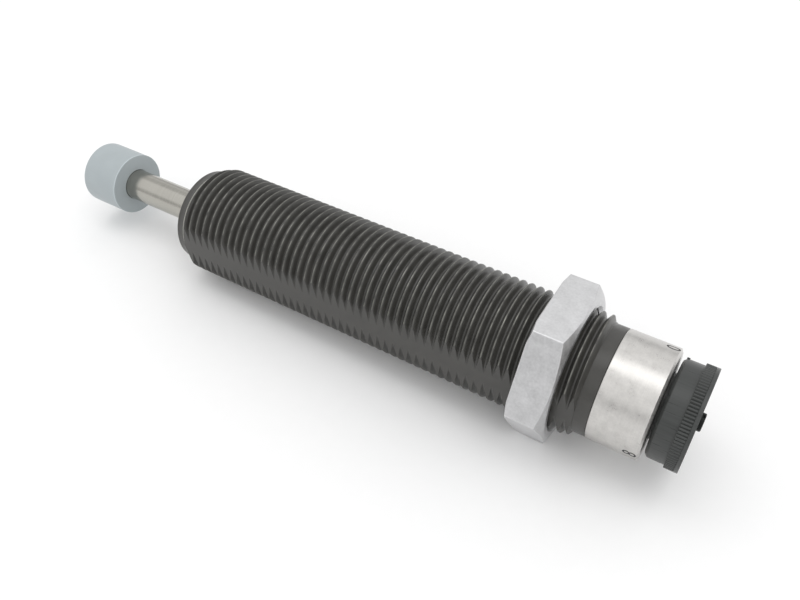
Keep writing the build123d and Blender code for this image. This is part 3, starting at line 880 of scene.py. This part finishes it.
class SHOCK_OT_knob(bpy.types.Operator):
    """Mould the adjusting knob with its hub, knurled rim and index nib, and its screw"""

    bl_idname = "shock.knob"
    bl_label = "Adjusting knob"

    def execute(self, context):
        sizes = context.scene.shock_knob
        front, hub, shoulder = sizes.front / MM, sizes.hub / MM, sizes.shoulder / MM
        stem_bore, bore_depth, screw_hole, chamfer = 2.52, 3.62, 0.82, 0.5
        bore_end = front + bore_depth
        rim_front = KNOB_END - sizes.rim_length / MM
        teeth_end = rim_front + sizes.tooth_length / MM
        root = RIM_RADIUS - sizes.tooth_depth / MM
        knob = [
            (HUB_FRONT, stem_bore, 0.05),
            (HUB_FRONT, hub, 0.1),
            (front, hub, 0.05),
            (front, shoulder - chamfer, 0.1),
            (front + chamfer, shoulder, 0.15),
            (rim_front, shoulder, 0.03),
            (rim_front, root, 0.03),
            (teeth_end, root),
            (teeth_end, RIM_RADIUS, 0.04),
            (KNOB_END, RIM_RADIUS, 0.06),
            (KNOB_END, screw_hole),
            (bore_end, screw_hole),
            (bore_end, stem_bore),
        ]
        finish = black_acetal()
        teeth = rim_teeth(sizes, finish)

        # The nib is a small block with softened edges, let into the shoulder
        height, width, nib, setback, softened = 0.2, 0.6, 0.45, 0.35, 0.06
        low = (front + setback, -width / 2, shoulder - 2 * height)
        high = (front + setback + nib, width / 2, shoulder + height)
        index = evaluated(block(low, high), "BEVEL", width=softened * MM, segments=2)
        turn = sizes.nib_angle - pi / 2
        for vertex in index.vertices:
            x, y, z = vertex.co
            vertex.co = (x, y * cos(turn) + z * sin(turn), z * cos(turn) - y * sin(turn))
        mesh = tidy(joined(turned("moulded_knob", knob), teeth, index))
        place("moulded_knob", mesh, finish, "adjuster", "black_acetal", "adjuster_knob")

        # The screw's thread is drawn as rings, and its head ends short of its solid, as in the photo
        slot_half, slot_depth, short, segments = 0.25, 0.4, 0.25, 64
        shank, thread_root, pitch, tip, plain_shank = 0.8, 0.65, 0.35, 0.3, 1.6
        head_end = SCREW_END - short
        ridges = []
        for x in np.arange(SCREW_TIP + tip, KNOB_END - plain_shank, pitch):
            ridges += [(x, thread_root), (x + pitch / 2, shank)]
        screw = [
            (SCREW_TIP, 0),
            (SCREW_TIP, thread_root, 0.1),
            *ridges,
            (KNOB_END, shank, 0.05),
            (KNOB_END, SCREW_RADIUS, 0.05),
            (head_end, SCREW_RADIUS, 0.25),
            (head_end, 0),
        ]
        head = tidy(turned("slotted_screw", screw, segments))
        low = (head_end - slot_depth, -slot_half, -2 * SCREW_RADIUS)
        high = (head_end + slot_depth, slot_half, 2 * SCREW_RADIUS)
        cutter = put("slot_cutter", block(low, high))
        head = evaluated(head, "BOOLEAN", operation="DIFFERENCE", solver="EXACT", object=cutter)
        bpy.data.objects.remove(cutter)
        finish = plain("blackened_screw_steel")
        place("slotted_screw", tidy(head), finish, "adjuster", "black_screw_steel", "knob_screw")
        return {"FINISHED"}


class SHOCK_OT_return_spring(bpy.types.Operator):
    """Wind the return spring between the piston and the tube's base"""

    bl_idname = "shock.return_spring"
    bl_label = "Return spring"

    def execute(self, context):
        sizes = context.scene.shock_spring
        wire = sizes.wire / MM
        front, rear, outside = extent("return_spring")
        start, end = front + wire, rear - wire
        finish = plain("tempered_spring_steel")
        inputs = {
            "Turns": sizes.turns,
            "Coil": (outside - wire) * MM,
            "Wire": sizes.wire,
            "Start": start * MM,
            "Length": (end - start) * MM,
            "Material": finish,
        }
        tree, given = geometry_tree("return_spring", inputs)
        coil = {"Start Radius": given["Coil"], "End Radius": given["Coil"], "Height": given["Length"]}
        coil = {"Resolution": 48, "Rotations": given["Turns"], **coil}
        spiral = add(tree, "GeometryNodeCurveSpiral", coil)
        along = add(tree, COMBINE, {"X": given["Start"]})
        move = {"Geometry": spiral, "Translation": along, "Rotation": (0.0, pi / 2, 0.0)}
        laid = add(tree, "GeometryNodeTransform", move)
        circle = add(tree, "GeometryNodeCurvePrimitiveCircle", {"Resolution": 16, "Radius": given["Wire"]})
        sweep = {"Curve": laid, "Profile Curve": circle.outputs["Curve"], "Fill Caps": True}
        end_tree(tree, add(tree, "GeometryNodeCurveToMesh", sweep))
        mesh = tidy(grown(tree, inputs))
        piece = place("wound_spring", mesh, finish, "housing", "spring_steel", "return_spring")
        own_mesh(piece)
        return {"FINISHED"}


class SHOCK_OT_seals(bpy.types.Operator):
    """Mould the rubber rings and the foam of the accumulator"""

    bl_idname = "shock.seals"
    bl_label = "Seals and foam"

    def execute(self, context):
        finish = plain("moulded_nitrile_rubber")
        play, lip, steps = 0.03, 0.5, 24
        guide = ROD_RADIUS + play
        start, end, outside = extent("rod_wiper")
        wiper = [
            (start + lip, outside, 0.1),
            (end, outside, 0.1),
            (end, guide + lip, 0.1),
            (start + lip / 2, guide),
            (start, guide + lip / 2, 0.1),
            (start + lip, guide + 2 * lip, 0.15),
        ]
        start, end, outside = extent("rod_seal")
        middle = (guide + outside) / 2
        seal = [
            (start, guide, 0.05),
            (start, outside, 0.05),
            (end, outside, 0.1),
            (end, middle + lip, 0.1),
            (end - 2 * lip, middle, 0.15),
            (end, middle - lip, 0.1),
            (end, guide, 0.1),
        ]
        for name, corners in (("rod_wiper", wiper), ("rod_seal", seal)):
            place_turned(f"moulded_{name}", corners, finish, "housing", "nitrile_rubber", name)

        angles = np.linspace(0, 2 * pi, steps, endpoint=False)
        rings = {"bearing_oring": "housing", "housing_oring": "housing", "stem_oring": "adjuster"}
        for name, body in rings.items():
            start, end, outside = extent(name)
            thick = (end - start) / 2
            circle = [(start + thick + thick * cos(a), outside - thick + thick * sin(a)) for a in angles]
            place_turned(f"moulded_{name}", circle, finish, body, "nitrile_rubber", name)

        spigot, clearance = 4.6, 0.15
        inside = spigot + clearance
        start, end, outside = extent("foam_accumulator")
        foam = [(start, inside, 0.3), (start, outside, 0.5), (end, outside, 0.5), (end, inside, 0.3)]
        finish, slot = plain("closed_cell_foam"), "closed_cell_foam"
        piece = place_turned("foam_sleeve", foam, finish, "housing", slot, "foam_accumulator")
        return {"FINISHED"}


class SHOCK_OT_inner_finishes(bpy.types.Operator):
    """Give the pieces that keep the frame's own shape their finishes"""

    bl_idname = "shock.inner_finishes"
    bl_label = "Inner finishes"

    def execute(self, context):
        steel = "pressure_tube tube_base piston_head piston_nut adjuster_stem metering_needle".split()
        sprung, bronze = ("front_retaining_ring", "stem_clip"), ("rod_bearing", "piston_ring")
        nodes = {"machined_bare_steel": steel, "tempered_spring_steel": sprung, "turned_bronze": bronze}
        for name, names in nodes.items():
            finish = plain(name)
            for node in names:
                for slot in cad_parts[node].material_slots:
                    slot.material = finish
        return {"FINISHED"}


class SHOCK_OT_stage(bpy.types.Operator):
    """Set the floor, the lights and the camera"""

    bl_idname = "shock.stage"
    bl_label = "Stage"

    def execute(self, context):
        scene = context.scene
        # The part leans on the barrel's front edge and the nut's front edge, so the floor is tilted under it
        front_edge = 3.0
        lean = atan((NUT_HALF - THREAD_RADIUS) / (NUT_FRONT - front_edge))
        reach = 1500
        corners = [
            Vector((x, y, -THREAD_RADIUS - (x - front_edge) * tan(lean))) * MM
            for x, y in ((-reach, -reach), (reach, -reach), (reach, reach), (-reach, reach))
        ]
        floor = bpy.data.meshes.new("floor")
        floor.from_pydata(corners, [], [(0, 1, 2, 3)])
        floor.materials.append(plain("white_card"))
        piece = put("floor", floor)

        # A white room, a little darker low on both sides and high behind on the left
        room_light, side_loss, patch_loss, patch_way = 1.1, 0.4, 0.3, (-0.6, 0.45, 0.66)
        world = bpy.data.worlds.new("white_room")
        scene.world = world
        world.use_nodes = True
        tree = world.node_tree
        sky = tree.nodes["Background"]
        sky.inputs["Color"].default_value = [*linear("#ffffff"), 1]
        way = add(tree, "ShaderNodeTexCoord").outputs["Generated"]
        apart = add(tree, SPLIT, [way]).outputs
        aside = add(tree, MATH, [apart["Y"]], "ABSOLUTE")
        towards = add(tree, VECTOR_MATH, [way, patch_way], "DOT_PRODUCT").outputs["Value"]
        fades = ((apart["Z"], 0.0, 0.15), (apart["Z"], 0.5, 0.25), (aside, 0.45, 0.75), (towards, 0.93, 0.99))
        smooth = {"interpolation_type": "SMOOTHSTEP"}
        above, below, near, patch = (
            add(tree, RANGE, {"Value": value, "From Min": start, "From Max": full}, **smooth)
            for value, start, full in fades
        )
        strip = add(tree, MATH, [above, below], "MULTIPLY")
        strip = add(tree, MATH, [strip, near], "MULTIPLY")
        strength = room_light
        for shade_here, loss in ((strip, side_loss), (patch, patch_loss)):
            left = add(tree, MATH, [shade_here, -loss, 1.0], "MULTIPLY_ADD")
            strength = add(tree, MATH, [left, strength], "MULTIPLY")
        tree.links.new(strength.outputs[0], sky.inputs["Strength"])

        lamp = bpy.data.lights.new("overhead_softbox", "AREA")
        lamp.shape, lamp.size, lamp.size_y = "RECTANGLE", 0.7, 0.22
        lamp.energy = 0.5
        light = put("overhead_softbox", lamp)
        light.location, aim = (0.04, -0.015, 0.5), Vector((0.04, 0, 0))
        light.rotation_euler = (aim - light.location).to_track_quat("-Z", "Y").to_euler()

        camera = bpy.data.cameras.new("camera")
        camera.lens = 34.61
        camera.clip_start, camera.clip_end = 0.01, 10
        viewer = put("camera", camera)
        viewer.location = Vector((93.16, -79.71, 91.69)) * MM
        viewer.rotation_euler = [radians(a) for a in (45.389, 0.580, 31.645)]
        scene.camera = viewer
        scene.view_settings.view_transform = "Standard"
        return {"FINISHED"}


class SHOCK_PT_panel(bpy.types.Panel):
    """Lists the operators in the sidebar"""

    bl_idname = "SHOCK_PT_panel"
    bl_label = "Shock absorber"
    bl_space_type = "VIEW_3D"
    bl_region_type = "UI"
    bl_category = "Shock absorber"

    def draw(self, context):
        for operator in OPERATORS:
            self.layout.operator(operator.bl_idname)


OPERATORS = (
    SHOCK_OT_stage,
    SHOCK_OT_barrel,
    SHOCK_OT_lock_nut,
    SHOCK_OT_rod_and_button,
    SHOCK_OT_scale_band,
    SHOCK_OT_knob,
    SHOCK_OT_return_spring,
    SHOCK_OT_seals,
    SHOCK_OT_inner_finishes,
)
GROUPS = {
    "shock_thread": ThreadSizes,
    "shock_knob": KnobSizes,
    "shock_scale": ScaleSizes,
    "shock_spring": SpringSizes,
    "shock_colours": FinishColours,
}
CLASSES = (*GROUPS.values(), *OPERATORS, SHOCK_PT_panel)


def register():
    for one in CLASSES:
        bpy.utils.register_class(one)
    for name, group in GROUPS.items():
        setattr(bpy.types.Scene, name, PointerProperty(type=group))


def unregister():
    for name in GROUPS:
        delattr(bpy.types.Scene, name)
    for one in reversed(CLASSES):
        bpy.utils.unregister_class(one)


def main():
    """Build the finished part and its stage."""
    register()
    for operator in OPERATORS:
        getattr(bpy.ops.shock, operator.bl_idname.split(".")[1])()


if __name__ == "__main__":
    main()
